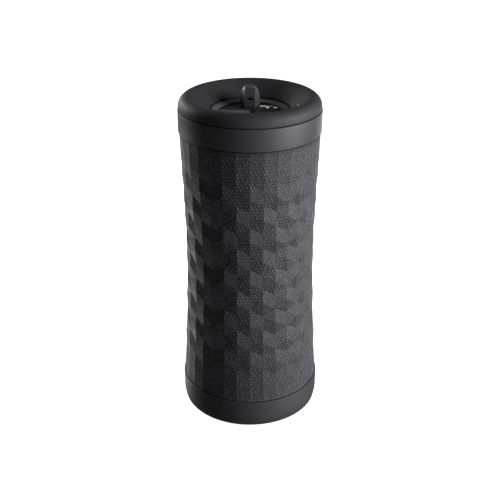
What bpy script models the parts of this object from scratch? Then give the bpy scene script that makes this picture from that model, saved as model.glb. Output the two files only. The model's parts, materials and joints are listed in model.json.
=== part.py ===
import math

import bmesh
import bpy
from mathutils import Matrix, Vector

# Sizes are in metres. The speaker stands on Z = 0 with its front towards -Y.

# Fits
GAP = 0.0003
EDGE_BREAK = 0.0003
CUT_OVERRUN = 0.002
MERGE_DISTANCE = 0.00001
SHARP_ANGLE = math.radians(32)
BLUE_TINT = 1.06

# Facets round each turned piece, a multiple of four so the sides stay square to the axes
OUTER_STEPS = 40
INNER_STEPS = 32
SMALL_STEPS = 16
SCREW_STEPS = 12

# Base cup
BASE_RADIUS = 0.0375
BASE_TAPER = 0.0003
BASE_HEIGHT = 0.01575
BASE_FILLET = 0.0023
BASE_FILLET_POINTS = 4
BASE_WALL = 0.0021
BASE_UNDERSIDE = 0.0006
BASE_FLOOR_TOP = 0.0042

# Rubber foot ring in the underside
FOOT_INNER_RADIUS = 0.024
FOOT_OUTER_RADIUS = 0.033
FOOT_HEIGHT = 0.002

# Grille sleeve, drawn in at the waist and pressed with hexagonal pyramids
SLEEVE_HEIGHT = 0.1416
SLEEVE_SET_BACK = 0.00105
SLEEVE_TOP_SET_BACK = 0.0015
SLEEVE_WAIST_DEPTH = 0.00275
SLEEVE_WAIST_SHARE = 0.53
SLEEVE_WAIST_POWER = 1.65
SLEEVE_THICKNESS = 0.0012
HEXAGONS_AROUND = 16
LATTICE_ROWS = 18
PYRAMID_HEIGHT = 0.0004
VALLEY_DEPTH = 0.0001
RELIEF_FADE_ROWS = 2.5

# Core tube behind the sleeve
CORE_WALL = 0.0023
CORE_RINGS = 8
WINDOW_MARGIN = 0.0015

# Collar, seal and soft bumper at the top
COLLAR_SET_BACK = 0.0011
COLLAR_HEIGHT = 0.0113
COLLAR_WALL = 0.0028
SEAL_WIDTH = 0.0013
SEAL_HEIGHT = 0.0014
BUMPER_HEIGHT = 0.00626
BUMPER_STEP = 0.0003
BUMPER_LAND = 0.0012
BUMPER_CREST_SET_BACK = 0.0051
BUMPER_LIP_OVERLAP = 0.0011
BUMPER_TIP_DROP = 0.0007
BUMPER_TIP_HEIGHT = 0.0003
BUMPER_CREST_HANDLE = 0.0017
BUMPER_LIP_RISE = 0.0022
BUMPER_SEAT_GAP = 0.00036
BUMPER_ARC_POINTS = 5

# Dial in the round well
WELL_RADIUS = 0.0195
WELL_WALL = 0.0017
WELL_DEPTH = 0.004
WELL_FLOOR = 0.002
DIAL_THICKNESS = 0.002
SHAFT_RADIUS = 0.003
SHAFT_TAIL = 0.0081
BUSH_WALL = 0.001
CLIP_WIDTH = 0.0027
CLIP_THICKNESS = 0.0012
HALF_PLATE_THICKNESS = 0.0014
HALF_PLATE_EDGE = 0.0004
RING_WIDTH = 0.0023
RING_EDGE = 0.0004
RING_RIM_DROP = 0.0002

# Upright thumb tab on the dial
TAB_HEIGHT = 0.0103
TAB_SHOULDER = 0.0032
TAB_WIDTH = 0.01
TAB_NOSE_WIDTH = 0.0052
TAB_TOP_WIDTH = 0.0028
TAB_NOSE_Y = 0.00675
TAB_FLANK_Y = 0.013
TAB_BACK_SET_IN = 0.0036
TAB_SECTIONS = 5
TAB_BACK_DRAW_IN = 0.002
TAB_SIDE_SHARE = 0.85
TAB_REAR_SHARE = 0.4
TAB_SLOT_WIDTH = 0.003
TAB_SLOT_HEIGHT = 0.0013
TAB_SLOT_DEPTH = 0.002
TAB_SLOT_RISE = 0.0047

# Frame under the bumper
FRAME_PLATE = 0.0015
FRAME_SKIRT = 0.0024
FRAME_HOLE_RADIUS = 0.0075
FRAME_RING_WALL = 0.002

# Chassis and bulkheads
BULKHEAD_THICKNESS = 0.002
CHASSIS_CORNER_ANGLE = math.radians(33)
CHASSIS_CORNER_GAP = 0.001
CHASSIS_WALL = 0.0016
CHASSIS_BEVEL = 0.003
TOP_BAY_HEIGHT = 0.0074
PILLAR_RADIUS = 0.0035
PILLAR_EDGE = 0.0008
PILLAR_COUNT = 4

# Screws through the base
SCREW_HEAD_RADIUS = 0.0026
SCREW_HEAD_HEIGHT = 0.0018
SCREW_SHANK_RADIUS = 0.0013
SCREW_REACH = 0.008
SCREW_SINK = 0.0005

# Loudspeaker drivers, back to back
DRIVER_DROP = 0.0275
FLANGE_EDGE_GAP = 0.0008
FLANGE_WIDTH = 0.0046
FLANGE_THICKNESS = 0.002
BASKET_WALL = 0.0011
BASKET_NECK = 0.0028
BASKET_DEPTH = 0.0087
BASKET_DRAW_IN = 0.0003
BASKET_PLATE = 0.0012
MAGNET_STEP = 0.0006
MAGNET_BACK_GAP = 0.001
MAGNET_BACK_PLATE = 0.002
COIL_RADIUS = 0.0062
COIL_WALL = 0.0008
COIL_CLEARANCE = 0.0006
PLATE_CLEARANCE = 0.0009
CONE_STROKE = 0.0015
SURROUND_WIDTH = 0.0033
CONE_RIM = 0.0008
CONE_DEPTH = 0.0044
CAP_RISE = 0.002
CAP_SHOULDER_RISE = 0.0016
CONE_NECK = 0.0011
SURROUND_LIP = 0.0006
SURROUND_ROLL_POINTS = 3

# Passive radiators, lower on the same faces
RADIATOR_RISE = 0.0487
RADIATOR_RADIUS = 0.012
RADIATOR_THICKNESS = 0.0015
RADIATOR_SURROUND = 0.0037

# Cells
CELL_RADIUS = 0.0092
CELL_HEIGHT = 0.065
CELL_BUTTON_RADIUS = 0.0028
CELL_BUTTON_HEIGHT = 0.0015
CRADLE_DEPTH = 0.022
CRADLE_EDGE = 0.0005
CRADLE_FLOOR = 0.0024
CRADLE_HEIGHT = 0.0124

# Boards
BOARD_THICKNESS = 0.0016
MAIN_BOARD_RADIUS = 0.024
RADIO_SIZE = Vector((0.014, 0.010, 0.0022))
RADIO_PLACE = Vector((-0.0095, 0.0125))
AMPLIFIER_SIZE = Vector((0.009, 0.009, 0.0014))
AMPLIFIER_PLACE = Vector((0.009, -0.0135))
ENCODER_SIZE = 0.012
PORT_BOARD_WIDTH = 0.02
PORT_BOARD_LENGTH = 0.0215
SOCKET_OVERHANG = 0.0015

# Sockets and the flap over them, at the back of the base
PORT_WIDTH = 0.022
PORT_HEIGHT = 0.008
PORT_RISE = 0.0052
FLAP_THICKNESS = 0.001
FLAP_SET_IN = 0.0002
FLAP_TOP_GAP = 0.0006
SOCKET_FACE = 0.0035
USB_SIZE = Vector((0.009, 0.0073, 0.0032))
USB_MOUTH = Vector((0.0083, 0.005, 0.0025))
USB_PLACE = -0.005
AUX_SIZE = Vector((0.006, 0.012, 0.005))
AUX_BORE_RADIUS = 0.00175
AUX_BORE_DEPTH = 0.009
AUX_PLACE = 0.005

# Levels and radii that follow from the sizes above
cup_top = BASE_HEIGHT - GAP / 2
sleeve_low = BASE_HEIGHT + GAP / 2
sleeve_high = BASE_HEIGHT + SLEEVE_HEIGHT - GAP / 2
collar_low = sleeve_high + GAP
collar_high = collar_low + COLLAR_HEIGHT - GAP
bumper_low = collar_high + GAP
bumper_crest = bumper_low + BUMPER_HEIGHT
collar_radius = BASE_RADIUS - COLLAR_SET_BACK
collar_bore = collar_radius - COLLAR_WALL
bumper_radius = collar_radius - BUMPER_STEP
sleeve_end_radius = BASE_RADIUS - SLEEVE_SET_BACK
sleeve_waist_radius = sleeve_end_radius - SLEEVE_WAIST_DEPTH
sleeve_top_radius = BASE_RADIUS - SLEEVE_TOP_SET_BACK
cup_bore = BASE_RADIUS - BASE_WALL
bumper_inner_radius = WELL_RADIUS + BUMPER_LIP_OVERLAP
pillar_circle = FOOT_INNER_RADIUS - 2 * GAP - SCREW_HEAD_RADIUS - PILLAR_EDGE
core_set_back = SLEEVE_THICKNESS + VALLEY_DEPTH + GAP
core_bore = sleeve_waist_radius - core_set_back - CORE_WALL
core_low = BASE_FLOOR_TOP + GAP
bulkhead_radius = core_bore - GAP
lower_bulkhead_top = sleeve_low + BULKHEAD_THICKNESS / 2
chassis_low = lower_bulkhead_top + GAP
chassis_high = sleeve_high - TOP_BAY_HEIGHT
chassis_half_width = (core_bore - CHASSIS_CORNER_GAP) * math.cos(CHASSIS_CORNER_ANGLE)
chassis_half_depth = (core_bore - CHASSIS_CORNER_GAP) * math.sin(CHASSIS_CORNER_ANGLE)
flange_low = chassis_half_depth + GAP
flange_top = flange_low + FLANGE_THICKNESS
flange_radius = math.sqrt((core_bore - FLANGE_EDGE_GAP) ** 2 - flange_top ** 2)
basket_mouth = flange_radius - FLANGE_WIDTH
cone_radius = basket_mouth - SURROUND_WIDTH
basket_back_radius = cone_radius - BASKET_DRAW_IN
magnet_radius = basket_back_radius - MAGNET_STEP
cell_place = chassis_half_width - CHASSIS_WALL - 2 * GAP - CRADLE_EDGE - CELL_RADIUS
driver_level = chassis_high - DRIVER_DROP
radiator_level = chassis_low + RADIATOR_RISE
upper_bulkhead_low = chassis_high + GAP
board_low = upper_bulkhead_low + BULKHEAD_THICKNESS + GAP
board_top = board_low + BOARD_THICKNESS
well_rim = bumper_low - BUMPER_TIP_DROP - BUMPER_TIP_HEIGHT - GAP
well_floor_top = well_rim - WELL_DEPTH
well_floor_low = well_floor_top - WELL_FLOOR
dial_low = well_floor_top + GAP
dial_top = dial_low + DIAL_THICKNESS
tab_low = dial_top + GAP
tab_back = WELL_RADIUS - TAB_BACK_SET_IN
frame_plate_top = well_floor_low - GAP
frame_plate_low = frame_plate_top - FRAME_PLATE
shaft_top = dial_low - GAP
shaft_low = shaft_top - SHAFT_TAIL
port_low = PORT_RISE
port_high = PORT_RISE + PORT_HEIGHT
port_board_low = BASE_FLOOR_TOP + GAP
socket_low = port_board_low + BOARD_THICKNESS + GAP
socket_front = BASE_RADIUS - SOCKET_FACE
flap_outer = BASE_RADIUS - FLAP_SET_IN
flap_low = port_low + GAP
flap_high = port_high - FLAP_TOP_GAP


def clear_scene():
    for old in list(bpy.data.objects):
        bpy.data.objects.remove(old, do_unlink=True)


def new_collection(name):
    collection = bpy.data.collections.new(name)
    bpy.context.scene.collection.children.link(collection)
    return collection


def new_material(name, colour, roughness, metallic=0.0):
    material = bpy.data.materials.new(name)
    material.use_nodes = True
    shader = material.node_tree.nodes["Principled BSDF"]
    shader.inputs["Base Color"].default_value = (*colour, 1.0)
    shader.inputs["Roughness"].default_value = roughness
    shader.inputs["Metallic"].default_value = metallic
    return material


def grey(level):
    return (level, level, level * BLUE_TINT)


def add_part(name, mesh, material, parent=None):
    """Link a mesh as one named sub-part with its own copy of the material."""
    part = bpy.data.objects.new(name, mesh)
    part_material = material.copy()
    part_material.name = name
    mesh.materials.append(part_material)
    speaker_parts.objects.link(part)
    part.parent = parent
    return part


def add_cutter(name, mesh):
    cutter = bpy.data.objects.new(name, mesh)
    cutter_parts.objects.link(cutter)
    cutter.hide_render = True
    cutter.display_type = "WIRE"
    return cutter


def boolean(part, tool, operation):
    modifier = part.modifiers.new(operation.lower(), "BOOLEAN")
    modifier.operation = operation
    modifier.solver = "EXACT"
    modifier.object = tool


def cut(part, cutter):
    boolean(part, cutter, "DIFFERENCE")


def fuse(part, tool):
    boolean(part, tool, "UNION")


def turned_mesh(name, profile, steps):
    """Revolve (radius, height) points about Z; the outer side of the profile runs downwards."""
    outline = bpy.data.meshes.new(name + "_profile")
    points = [(radius, 0.0, height) for radius, height in profile]
    edges = [(i, i + 1) for i in range(len(points) - 1)]
    if profile[0][0] > 0 or profile[-1][0] > 0:
        edges.append((len(points) - 1, 0))
    outline.from_pydata(points, edges, [])
    turning = bpy.data.objects.new(name + "_turning", outline)
    cutter_parts.objects.link(turning)
    screw = turning.modifiers.new("turn", "SCREW")
    screw.steps = steps
    screw.render_steps = steps
    screw.use_merge_vertices = True
    screw.merge_threshold = MERGE_DISTANCE
    depsgraph = bpy.context.evaluated_depsgraph_get()
    mesh = bpy.data.meshes.new_from_object(turning.evaluated_get(depsgraph))
    mesh.name = name
    bpy.data.objects.remove(turning)
    mesh.shade_smooth()
    mesh.set_sharp_from_angle(angle=SHARP_ANGLE)
    return mesh


def box_mesh(name, low, high):
    low = Vector(low)
    high = Vector(high)
    size = high - low
    place = Matrix.Translation((low + high) / 2) @ Matrix.Diagonal((*size, 1.0))
    mesh = bpy.data.meshes.new(name)
    shape = bmesh.new()
    bmesh.ops.create_cube(shape, size=1.0, matrix=place)
    shape.to_mesh(mesh)
    shape.free()
    return mesh


def rod_mesh(name, radius, low, high, steps, place=None):
    """A cylinder from low to high along Z, then moved by place."""
    centre = Matrix.Translation((0, 0, (low + high) / 2))
    matrix = place @ centre if place else centre
    mesh = bpy.data.meshes.new(name)
    shape = bmesh.new()
    bmesh.ops.create_cone(
        shape, cap_ends=True, segments=steps, radius1=radius, radius2=radius,
        depth=high - low, matrix=matrix)
    shape.to_mesh(mesh)
    shape.free()
    mesh.shade_smooth()
    mesh.set_sharp_from_angle(angle=SHARP_ANGLE)
    return mesh


def arc(centre, radii, start, end, count):
    """Points along an elliptical arc, both ends included, angles in degrees."""
    points = []
    for i in range(count):
        angle = math.radians(start + (end - start) * i / (count - 1))
        points.append((centre[0] + radii[0] * math.cos(angle), centre[1] + radii[1] * math.sin(angle)))
    return points


def sleeve_radius(height):
    """Radius of the sleeve's middle level: widest at both ends and drawn in at the waist."""
    share = (height - sleeve_low) / (sleeve_high - sleeve_low)
    if share < SLEEVE_WAIST_SHARE:
        away = (SLEEVE_WAIST_SHARE - share) / SLEEVE_WAIST_SHARE
        end_radius = sleeve_end_radius
    else:
        away = (share - SLEEVE_WAIST_SHARE) / (1 - SLEEVE_WAIST_SHARE)
        end_radius = sleeve_top_radius
    return sleeve_waist_radius + (end_radius - sleeve_waist_radius) * away ** SLEEVE_WAIST_POWER


def make_base():
    low_radius = BASE_RADIUS - BASE_TAPER
    fillet_centre = (low_radius - BASE_FILLET, BASE_UNDERSIDE + BASE_FILLET)
    groove_inner = FOOT_INNER_RADIUS - GAP
    groove_outer = FOOT_OUTER_RADIUS + GAP
    groove_top = FOOT_HEIGHT + GAP
    profile = [
        (0, BASE_FLOOR_TOP), (cup_bore, BASE_FLOOR_TOP), (cup_bore, cup_top),
        (BASE_RADIUS - EDGE_BREAK, cup_top), (BASE_RADIUS, cup_top - EDGE_BREAK)]
    profile += arc(fillet_centre, (BASE_FILLET, BASE_FILLET), 0, -90, BASE_FILLET_POINTS)
    profile += [
        (groove_outer, BASE_UNDERSIDE), (groove_outer, groove_top), (groove_inner, groove_top),
        (groove_inner, BASE_UNDERSIDE), (0, BASE_UNDERSIDE)]
    cup = add_part("base_cup", turned_mesh("base_cup", profile, OUTER_STEPS), moulded)
    port_cut = box_mesh(
        "port_cut", (-PORT_WIDTH / 2, cup_bore - BASE_WALL * 2, port_low),
        (PORT_WIDTH / 2, BASE_RADIUS + CUT_OVERRUN, port_high))
    cut(cup, add_cutter("port_cut", port_cut))

    foot_profile = [
        (FOOT_OUTER_RADIUS, FOOT_HEIGHT), (FOOT_OUTER_RADIUS, EDGE_BREAK),
        (FOOT_OUTER_RADIUS - EDGE_BREAK, 0), (FOOT_INNER_RADIUS + EDGE_BREAK, 0),
        (FOOT_INNER_RADIUS, EDGE_BREAK), (FOOT_INNER_RADIUS, FOOT_HEIGHT)]
    add_part("rubber_foot", turned_mesh("rubber_foot", foot_profile, OUTER_STEPS), rubber)

    for place, number in pillar_places():
        make_base_screw(cup, place, number)


def pillar_places():
    for i in range(PILLAR_COUNT):
        angle = 2 * math.pi * (i + 0.5) / PILLAR_COUNT
        yield Vector((math.cos(angle), math.sin(angle), 0)) * pillar_circle, i + 1


def make_base_screw(cup, place, number):
    head_low = BASE_UNDERSIDE + SCREW_SINK
    head_top = head_low + SCREW_HEAD_HEIGHT
    tip = BASE_FLOOR_TOP + SCREW_REACH
    profile = [
        (0, tip), (SCREW_SHANK_RADIUS, tip - SCREW_SHANK_RADIUS), (SCREW_SHANK_RADIUS, head_top),
        (SCREW_HEAD_RADIUS, head_top), (SCREW_HEAD_RADIUS, head_low), (0, head_low)]
    name = f"base_screw_{number}"
    screw = add_part(name, turned_mesh(name, profile, SCREW_STEPS), steel)
    screw.location = place
    below = BASE_UNDERSIDE - CUT_OVERRUN
    above = BASE_FLOOR_TOP + CUT_OVERRUN
    hole_profile = [
        (0, above), (SCREW_SHANK_RADIUS + GAP, above), (SCREW_SHANK_RADIUS + GAP, head_top + GAP),
        (SCREW_HEAD_RADIUS + GAP, head_top + GAP), (SCREW_HEAD_RADIUS + GAP, below), (0, below)]
    hole_name = f"base_screw_hole_{number}"
    hole = add_cutter(hole_name, turned_mesh(hole_name, hole_profile, SCREW_STEPS))
    hole.location = place
    cut(cup, hole)


def make_lower_bulkhead():
    low = lower_bulkhead_top - BULKHEAD_THICKNESS
    disc = rod_mesh("lower_bulkhead", bulkhead_radius, low, lower_bulkhead_top, INNER_STEPS)
    bulkhead = add_part("lower_bulkhead", disc, moulded)
    bore_top = BASE_FLOOR_TOP + SCREW_REACH + GAP
    for place, number in pillar_places():
        pillar_mesh = rod_mesh(
            f"pillar_{number}", PILLAR_RADIUS, core_low, low + BULKHEAD_THICKNESS / 2, SCREW_STEPS)
        pillar = add_cutter(f"pillar_{number}", pillar_mesh)
        pillar.location = place
        fuse(bulkhead, pillar)
        bore_mesh = rod_mesh(
            f"pillar_bore_{number}", SCREW_SHANK_RADIUS + GAP, core_low - CUT_OVERRUN, bore_top, SCREW_STEPS)
        bore = add_cutter(f"pillar_bore_{number}", bore_mesh)
        bore.location = place
        cut(bulkhead, bore)


def make_ports():
    back = Matrix.Translation((0, socket_front, 0))
    board_back = socket_front - SOCKET_OVERHANG
    board = box_mesh(
        "port_board", (-PORT_BOARD_WIDTH / 2, board_back - PORT_BOARD_LENGTH, port_board_low),
        (PORT_BOARD_WIDTH / 2, board_back, port_board_low + BOARD_THICKNESS))
    add_part("port_board", board, laminate)

    usb = add_part("usb_socket", socket_mesh("usb_socket", USB_SIZE, USB_PLACE), steel)
    mouth_level = socket_low + USB_SIZE.z / 2
    mouth = box_mesh(
        "usb_mouth",
        (USB_PLACE - USB_MOUTH.x / 2, socket_front - USB_MOUTH.y, mouth_level - USB_MOUTH.z / 2),
        (USB_PLACE + USB_MOUTH.x / 2, socket_front + CUT_OVERRUN, mouth_level + USB_MOUTH.z / 2))
    cut(usb, add_cutter("usb_mouth", mouth))

    aux = add_part("aux_socket", socket_mesh("aux_socket", AUX_SIZE, AUX_PLACE), moulded)
    along_y = Matrix.Translation((AUX_PLACE, 0, socket_low + AUX_SIZE.z / 2)) @ back
    bore = rod_mesh(
        "aux_bore", AUX_BORE_RADIUS, -AUX_BORE_DEPTH, CUT_OVERRUN, SCREW_STEPS,
        along_y @ Matrix.Rotation(-math.pi / 2, 4, "X"))
    cut(aux, add_cutter("aux_bore", bore))

    make_port_cover()


def socket_mesh(name, size, place):
    return box_mesh(
        name, (place - size.x / 2, socket_front - size.y, socket_low),
        (place + size.x / 2, socket_front, socket_low + size.z))


def make_port_cover():
    """A thin curved flap; its object sits on the hinge line along its outer lower edge."""
    hinge = Vector((0, flap_outer, flap_low))
    inner = flap_outer - FLAP_THICKNESS
    ring = [(flap_outer, flap_high), (flap_outer, flap_low), (inner, flap_low), (inner, flap_high)]
    mesh = turned_mesh("port_cover", ring, OUTER_STEPS)
    mesh.transform(Matrix.Translation(-hinge))
    cover = add_part("port_cover", mesh, rubber)
    cover.location = hinge
    half = PORT_WIDTH / 2 - GAP
    keep = box_mesh(
        "port_cover_keep", (-half, BASE_RADIUS / 2, flap_low - CUT_OVERRUN),
        (half, BASE_RADIUS + CUT_OVERRUN, flap_high + CUT_OVERRUN))
    boolean(cover, add_cutter("port_cover_keep", keep), "INTERSECT")


def make_grille_core():
    spigot = cup_bore - GAP
    profile = []
    for i in range(CORE_RINGS + 1):
        height = sleeve_high + (sleeve_low - sleeve_high) * i / CORE_RINGS
        profile.append((sleeve_radius(height) - core_set_back, height))
    profile += [
        (spigot, sleeve_low - GAP), (spigot, core_low), (core_bore, core_low), (core_bore, sleeve_high)]
    core = add_part("grille_core", turned_mesh("grille_core", profile, INNER_STEPS), moulded)
    across = Matrix.Rotation(math.pi / 2, 4, "X")
    reach = BASE_RADIUS + CUT_OVERRUN
    windows = (
        ("driver_window", driver_level, flange_radius - WINDOW_MARGIN),
        ("radiator_window", radiator_level, RADIATOR_RADIUS + RADIATOR_SURROUND + WINDOW_MARGIN))
    for name, level, radius in windows:
        place = Matrix.Translation((0, 0, level)) @ across
        window = rod_mesh(name, radius, -reach, reach, INNER_STEPS, place)
        cut(core, add_cutter(name, window))
    half = PORT_WIDTH / 2 + GAP
    notch = box_mesh(
        "port_notch", (-half, socket_front - PORT_BOARD_LENGTH / 2, core_low - CUT_OVERRUN),
        (half, reach, port_high + GAP))
    cut(core, add_cutter("port_notch", notch))


def relief(column, level):
    """Height of a lattice point over the sleeve: apexes stand out, every third point lies low."""
    kind = math.floor(level) % 3
    if column % 2:
        kind = (kind + 2) % 3
    rise = (PYRAMID_HEIGHT, 0.0, -VALLEY_DEPTH)[kind]
    from_end = min(level, LATTICE_ROWS - level)
    return rise * min(1.0, from_end / RELIEF_FADE_ROWS)


def make_grille_sleeve():
    """Honeycomb of shallow pyramids: columns of points, every other one half a row higher."""
    columns = 2 * HEXAGONS_AROUND
    row = (sleeve_high - sleeve_low) / LATTICE_ROWS
    shape = bmesh.new()
    lines = []
    for column in range(columns):
        angle = -math.pi / 2 + 2 * math.pi * column / columns
        levels = [float(k) for k in range(LATTICE_ROWS + 1)]
        if column % 2:
            levels = [0.0] + [k + 0.5 for k in range(LATTICE_ROWS)] + [float(LATTICE_ROWS)]
        line = []
        for level in levels:
            height = sleeve_low + level * row
            radius = sleeve_radius(height) + relief(column, level)
            point = shape.verts.new((radius * math.cos(angle), radius * math.sin(angle), height))
            line.append((level, point))
        lines.append(line)
    for column in range(columns):
        zip_lines(shape, lines[column], lines[(column + 1) % columns])
    mesh = bpy.data.meshes.new("grille_sleeve")
    shape.to_mesh(mesh)
    shape.free()
    sleeve = add_part("grille_sleeve", mesh, cloth)
    shell = sleeve.modifiers.new("cloth", "SOLIDIFY")
    shell.thickness = SLEEVE_THICKNESS
    shell.offset = -1.0


def zip_lines(shape, left, right):
    """Fill the strip between two upright lines of points with triangles, lowest first."""
    i = 0
    j = 0
    while i < len(left) - 1 or j < len(right) - 1:
        left_next = left[i + 1][0] if i < len(left) - 1 else math.inf
        right_next = right[j + 1][0] if j < len(right) - 1 else math.inf
        if left_next < right_next:
            shape.faces.new((left[i][1], right[j][1], left[i + 1][1]))
            i += 1
        else:
            shape.faces.new((left[i][1], right[j][1], right[j + 1][1]))
            j += 1


def make_chassis():
    """A square tube that closes the air volume behind the drivers and radiators."""
    outer = box_mesh(
        "chassis_box", (-chassis_half_width, -chassis_half_depth, chassis_low),
        (chassis_half_width, chassis_half_depth, chassis_high))
    chassis = add_part("chassis_box", outer, moulded)
    round_upright_edges(outer, CHASSIS_BEVEL)
    inner_width = chassis_half_width - CHASSIS_WALL
    inner_depth = chassis_half_depth - CHASSIS_WALL
    inner = box_mesh(
        "chassis_bore", (-inner_width, -inner_depth, chassis_low - CUT_OVERRUN),
        (inner_width, inner_depth, chassis_high + CUT_OVERRUN))
    cut(chassis, add_cutter("chassis_bore", inner))
    across = Matrix.Rotation(math.pi / 2, 4, "X")
    reach = chassis_half_depth + CUT_OVERRUN
    holes = (
        ("driver_hole", driver_level, basket_mouth + BASKET_WALL + GAP),
        ("radiator_hole", radiator_level, RADIATOR_RADIUS + RADIATOR_SURROUND + 2 * GAP))
    for name, level, radius in holes:
        hole = rod_mesh(name, radius, -reach, reach, SMALL_STEPS, Matrix.Translation((0, 0, level)) @ across)
        cut(chassis, add_cutter(name, hole))


def round_upright_edges(mesh, width):
    shape = bmesh.new()
    shape.from_mesh(mesh)
    upright = [edge for edge in shape.edges if abs(edge.verts[0].co.z - edge.verts[1].co.z) > width]
    bmesh.ops.bevel(shape, geom=upright, offset=width, segments=2, profile=0.5, affect="EDGES")
    shape.to_mesh(mesh)
    shape.free()


def make_cells():
    inner_width = chassis_half_width - CHASSIS_WALL - GAP
    cradle = box_mesh(
        "battery_cradle", (-inner_width, -CRADLE_DEPTH / 2, chassis_low),
        (inner_width, CRADLE_DEPTH / 2, chassis_low + CRADLE_HEIGHT))
    cradle_part = add_part("battery_cradle", cradle, moulded)
    seat = chassis_low + CRADLE_FLOOR
    low = seat + GAP
    top = low + CELL_HEIGHT
    shoulder = top - CELL_BUTTON_HEIGHT
    profile = [
        (0, top), (CELL_BUTTON_RADIUS, top), (CELL_BUTTON_RADIUS, shoulder),
        (CELL_RADIUS - EDGE_BREAK, shoulder), (CELL_RADIUS, shoulder - EDGE_BREAK),
        (CELL_RADIUS, low + EDGE_BREAK), (CELL_RADIUS - EDGE_BREAK, low), (0, low)]
    for side, name in ((-1, "battery_cell_left"), (1, "battery_cell_right")):
        place = Vector((side * cell_place, 0, 0))
        cell = add_part(name, turned_mesh(name, profile, SMALL_STEPS), wrap)
        cell.location = place
        pocket_top = chassis_low + CRADLE_HEIGHT + CUT_OVERRUN
        pocket_mesh = rod_mesh(name + "_pocket", CELL_RADIUS + GAP, seat, pocket_top, SMALL_STEPS)
        pocket = add_cutter(name + "_pocket", pocket_mesh)
        pocket.location = place
        cut(cradle_part, pocket)


def facing(side, level):
    """Placement of a piece turned about its own Z, which then points out of the front or back."""
    return Matrix.Translation((0, 0, level)) @ Matrix.Rotation(-side * math.pi / 2, 4, "X")


def add_turned(name, profile, steps, material, place):
    part = add_part(name, turned_mesh(name, profile, steps), material)
    part.matrix_world = place
    return part


def make_driver(side, end):
    """One driver; heights run outwards from the middle of the speaker."""
    place = facing(side, driver_level)
    neck = flange_low - BASKET_NECK
    plate_low = flange_low - BASKET_DEPTH
    plate_top = plate_low + BASKET_PLATE
    coil_hole = COIL_RADIUS + COIL_WALL / 2 + PLATE_CLEARANCE
    frame_profile = [
        (flange_radius, flange_top), (flange_radius, flange_low),
        (basket_mouth + BASKET_WALL, flange_low), (basket_mouth + BASKET_WALL, neck),
        (basket_back_radius, plate_low), (coil_hole, plate_low), (coil_hole, plate_top),
        (basket_back_radius - BASKET_WALL, plate_top), (basket_mouth, neck + BASKET_WALL / 2),
        (basket_mouth, flange_top)]
    add_turned(f"driver_{end}_frame", frame_profile, SMALL_STEPS, steel, place)

    magnet_top = plate_low - GAP
    groove = MAGNET_BACK_GAP + MAGNET_BACK_PLATE
    pole = COIL_RADIUS - COIL_WALL / 2 - COIL_CLEARANCE
    gap_outer = COIL_RADIUS + COIL_WALL / 2 + COIL_CLEARANCE
    magnet_profile = [
        (0, magnet_top), (pole, magnet_top), (pole, groove), (gap_outer, groove),
        (gap_outer, magnet_top), (magnet_radius, magnet_top), (magnet_radius, MAGNET_BACK_GAP),
        (0, MAGNET_BACK_GAP)]
    add_turned(f"driver_{end}_magnet", magnet_profile, SMALL_STEPS, steel, place)

    rim = flange_low
    neck_level = rim - CONE_DEPTH
    coil_outer = COIL_RADIUS + COIL_WALL / 2
    coil_inner = COIL_RADIUS - COIL_WALL / 2
    coil_low = groove + CONE_STROKE + COIL_CLEARANCE
    cone_profile = [
        (0, neck_level + CAP_RISE), (coil_inner / 2, neck_level + CAP_SHOULDER_RISE),
        (coil_outer, neck_level), (cone_radius - CONE_RIM, rim), (cone_radius, rim),
        (cone_radius, rim - CONE_RIM), (coil_outer, neck_level - CONE_NECK),
        (coil_outer, coil_low), (coil_inner, coil_low), (coil_inner, neck_level - CONE_NECK),
        (0, neck_level + CAP_RISE - CONE_RIM)]
    add_turned(f"driver_{end}_cone", cone_profile, SMALL_STEPS, paper, place)
    make_surround(f"driver_{end}_surround", cone_radius + GAP, basket_mouth - GAP, rim - CONE_RIM, place)


def make_surround(name, inner, outer, low, place):
    """A half-roll of rubber with a flat lip on each side."""
    middle = (inner + outer) / 2
    lip_top = low + SURROUND_LIP
    roll = (outer - inner) / 2 - SURROUND_LIP
    inner_roll = roll - SURROUND_LIP
    profile = [(inner, lip_top)]
    profile += arc((middle, lip_top), (roll, roll), 180, 0, SURROUND_ROLL_POINTS)
    profile += [(outer, lip_top), (outer, low)]
    if inner_roll > GAP:
        profile += arc((middle, low), (inner_roll, inner_roll), 0, 180, SURROUND_ROLL_POINTS)
    profile += [(inner, low)]
    add_turned(name, profile, SMALL_STEPS, rubber, place)


def make_radiator(side, end):
    place = facing(side, radiator_level)
    low = chassis_half_depth - CHASSIS_WALL / 2
    top = low + RADIATOR_THICKNESS
    profile = [
        (0, top), (RADIATOR_RADIUS - EDGE_BREAK, top), (RADIATOR_RADIUS, top - EDGE_BREAK),
        (RADIATOR_RADIUS, low), (0, low)]
    add_turned(f"radiator_{end}_plate", profile, SMALL_STEPS, steel, place)
    inner = RADIATOR_RADIUS + GAP
    outer = RADIATOR_RADIUS + RADIATOR_SURROUND
    make_surround(f"radiator_{end}_surround", inner, outer, low, place)


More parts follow.
